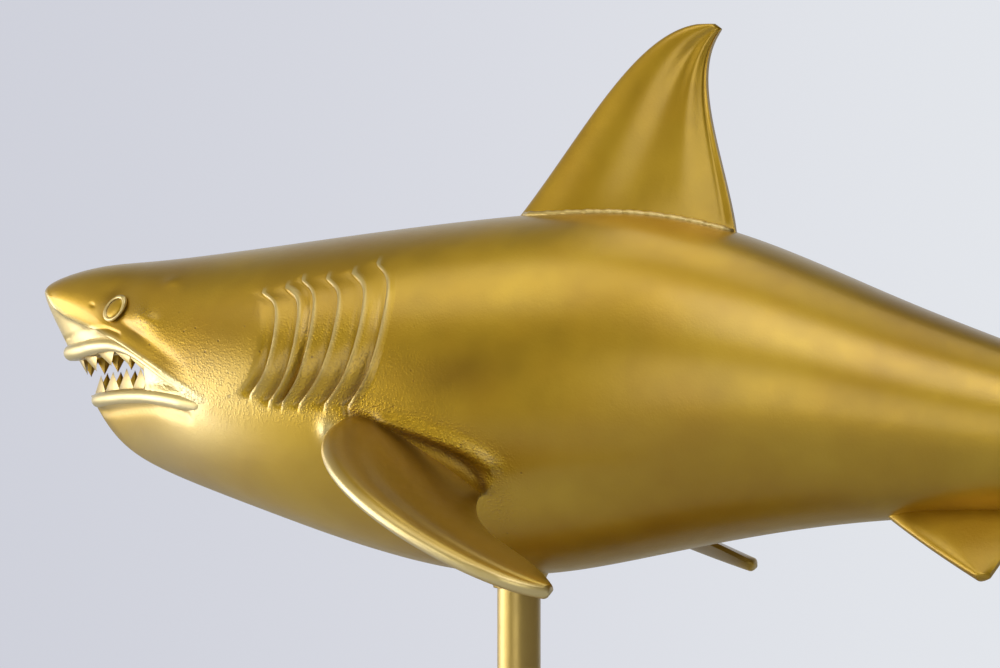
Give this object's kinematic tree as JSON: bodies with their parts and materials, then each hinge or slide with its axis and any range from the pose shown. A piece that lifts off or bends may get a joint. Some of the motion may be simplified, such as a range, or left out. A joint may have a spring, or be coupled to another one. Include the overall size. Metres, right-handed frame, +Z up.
{
  "type": "shark figurine",
  "caption": "Gold painted cast shark with open jaws, standing on a round post and a flat rectangular foot plate.",
  "frame": {"origin": "on the post's axis, on the underside of the foot plate", "axes": "X runs along the fish with its nose towards -X, Y across it with its left side towards -Y, and +Z is up"},
  "size_m": [0.679, 0.288, 0.4203],
  "materials": {
    "shark_casting": "satin",
    "stand_post": "satin",
    "base_plate": "satin"
  },
  "bodies": {
    "root": {"shark_casting": "shark_casting", "stand_post": "stand_post", "base_plate": "base_plate"}
  },
  "joints": []
}
